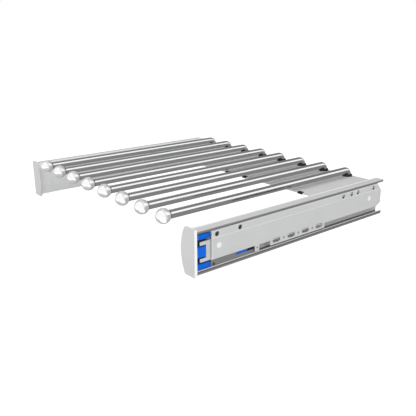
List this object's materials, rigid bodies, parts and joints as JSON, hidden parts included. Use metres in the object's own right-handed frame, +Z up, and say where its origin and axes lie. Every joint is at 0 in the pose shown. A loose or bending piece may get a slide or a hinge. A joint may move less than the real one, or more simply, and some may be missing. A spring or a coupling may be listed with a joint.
{
  "type": "pull out trouser rack",
  "caption": "Pull-out trouser rack for a wardrobe: ball-ended cantilever rods on a cross plate between two side profiles with full-extension soft-close slides.",
  "frame": {"origin": "bottom centre of the bounding box with the rack pushed in, under the middle of the rods", "axes": "+X to the right across the rack seen from the front, +Y from the front caps to the back, +Z up"},
  "size_m": [0.564, 0.4622, 0.0877],
  "materials": {
    "profile_aluminium": "satin anodised extrusion",
    "cap_grey": "fine satin moulded grey",
    "blue_plastic": "smooth moulded blue",
    "plate_grey": "satin grey powder coat",
    "rod_chrome": "bright polished plating",
    "black_plastic": "moulded black",
    "black_rubber": "soft black",
    "slide_steel": "bright zinc plated sheet",
    "ball_steel": "polished bearing balls",
    "fastener_steel": "zinc plated",
    "damper_grey": "moulded grey",
    "spring_steel": "drawn wire"
  },
  "bodies": {
    "cabinet": {"cabinet_member_left": "slide_steel", "cabinet_member_right": "slide_steel", "cabinet_member_rivets": "fastener_steel", "catch_strikers": "fastener_steel"},
    "rack": {"side_profile_left": "profile_aluminium", "side_profile_right": "profile_aluminium", "front_cap_left": "cap_grey", "front_cap_right": "cap_grey", "front_block_left": "blue_plastic", "front_block_right": "blue_plastic", "rear_plate": "plate_grey", "plate_screws": "fastener_steel", "plate_edge_pads": "black_rubber", "rod_1": "rod_chrome", "rod_2": "rod_chrome", "rod_3": "rod_chrome", "rod_4": "rod_chrome", "rod_5": "rod_chrome", "rod_6": "rod_chrome", "rod_7": "rod_chrome", "rod_8": "rod_chrome", "rod_end_balls": "rod_chrome", "rod_bushes": "black_rubber", "rod_washers": "fastener_steel", "rod_nuts": "fastener_steel", "drawer_member_left": "slide_steel", "drawer_member_right": "slide_steel", "drawer_member_screws": "fastener_steel", "release_lever_pins": "fastener_steel", "damper_housing_left": "damper_grey", "damper_housing_right": "damper_grey", "damper_screws": "fastener_steel", "damper_cylinders": "fastener_steel", "closing_spring_left": "spring_steel", "closing_spring_right": "spring_steel"},
    "slide_middle_left": {"intermediate_member_left": "slide_steel"},
    "outer_ball_cage_left": {"outer_cage_left": "slide_steel", "outer_balls_left": "ball_steel"},
    "inner_ball_cage_left": {"inner_cage_left": "slide_steel", "inner_balls_left": "ball_steel"},
    "catch_left": {"damper_catch_left": "blue_plastic", "catch_hook_left": "black_plastic", "damper_rod_left": "fastener_steel"},
    "lever_left": {"release_lever_left": "black_plastic"},
    "slide_middle_right": {"intermediate_member_right": "slide_steel"},
    "outer_ball_cage_right": {"outer_cage_right": "slide_steel", "outer_balls_right": "ball_steel"},
    "inner_ball_cage_right": {"inner_cage_right": "slide_steel", "inner_balls_right": "ball_steel"},
    "catch_right": {"damper_catch_right": "blue_plastic", "catch_hook_right": "black_plastic", "damper_rod_right": "fastener_steel"},
    "lever_right": {"release_lever_right": "black_plastic"}
  },
  "joints": [
    {"name": "rack_slide", "type": "slide", "parent": "cabinet", "child": "rack", "axis": [0, -1, 0], "range_m": [0, 0.38]},
    {"name": "slide_middle_left_slide", "type": "slide", "parent": "cabinet", "child": "slide_middle_left", "axis": [0, -1, 0], "range_m": [0, 0.19]},
    {"name": "outer_ball_cage_left_slide", "type": "slide", "parent": "cabinet", "child": "outer_ball_cage_left", "axis": [0, -1, 0], "range_m": [0, 0.095]},
    {"name": "inner_ball_cage_left_slide", "type": "slide", "parent": "cabinet", "child": "inner_ball_cage_left", "axis": [0, -1, 0], "range_m": [0, 0.285]},
    {"name": "catch_left_slide", "type": "slide", "parent": "rack", "child": "catch_left", "axis": [0, 1, 0], "range_m": [0, 0.022], "deforming": ["closing_spring_left"]},
    {"name": "slide_middle_right_slide", "type": "slide", "parent": "cabinet", "child": "slide_middle_right", "axis": [0, -1, 0], "range_m": [0, 0.19]},
    {"name": "outer_ball_cage_right_slide", "type": "slide", "parent": "cabinet", "child": "outer_ball_cage_right", "axis": [0, -1, 0], "range_m": [0, 0.095]},
    {"name": "inner_ball_cage_right_slide", "type": "slide", "parent": "cabinet", "child": "inner_ball_cage_right", "axis": [0, -1, 0], "range_m": [0, 0.285]},
    {"name": "catch_right_slide", "type": "slide", "parent": "rack", "child": "catch_right", "axis": [0, 1, 0], "range_m": [0, 0.022], "deforming": ["closing_spring_right"]},
    {"name": "lever_left_pivot", "type": "hinge", "parent": "rack", "child": "lever_left", "pos_m": [-0.272, 0.1331, 0.0429], "axis": [-1, 0, 0], "range_deg": [0, 6], "stiffness_Nm_per_rad": 0.05, "springref_deg": -5.73},
    {"name": "lever_right_pivot", "type": "hinge", "parent": "rack", "child": "lever_right", "pos_m": [0.272, 0.1331, 0.0429], "axis": [-1, 0, 0], "range_deg": [0, 6], "stiffness_Nm_per_rad": 0.05, "springref_deg": -5.73}
  ],
  "couplings": [
    {"joint": "slide_middle_left_slide", "follows": "rack_slide", "ratio": 0.5},
    {"joint": "outer_ball_cage_left_slide", "follows": "rack_slide", "ratio": 0.25},
    {"joint": "inner_ball_cage_left_slide", "follows": "rack_slide", "ratio": 0.75},
    {"joint": "catch_left_slide", "follows": "rack_slide", "ratio": 0.0578},
    {"joint": "slide_middle_right_slide", "follows": "rack_slide", "ratio": 0.5},
    {"joint": "outer_ball_cage_right_slide", "follows": "rack_slide", "ratio": 0.25},
    {"joint": "inner_ball_cage_right_slide", "follows": "rack_slide", "ratio": 0.75},
    {"joint": "catch_right_slide", "follows": "rack_slide", "ratio": 0.0578}
  ]
}
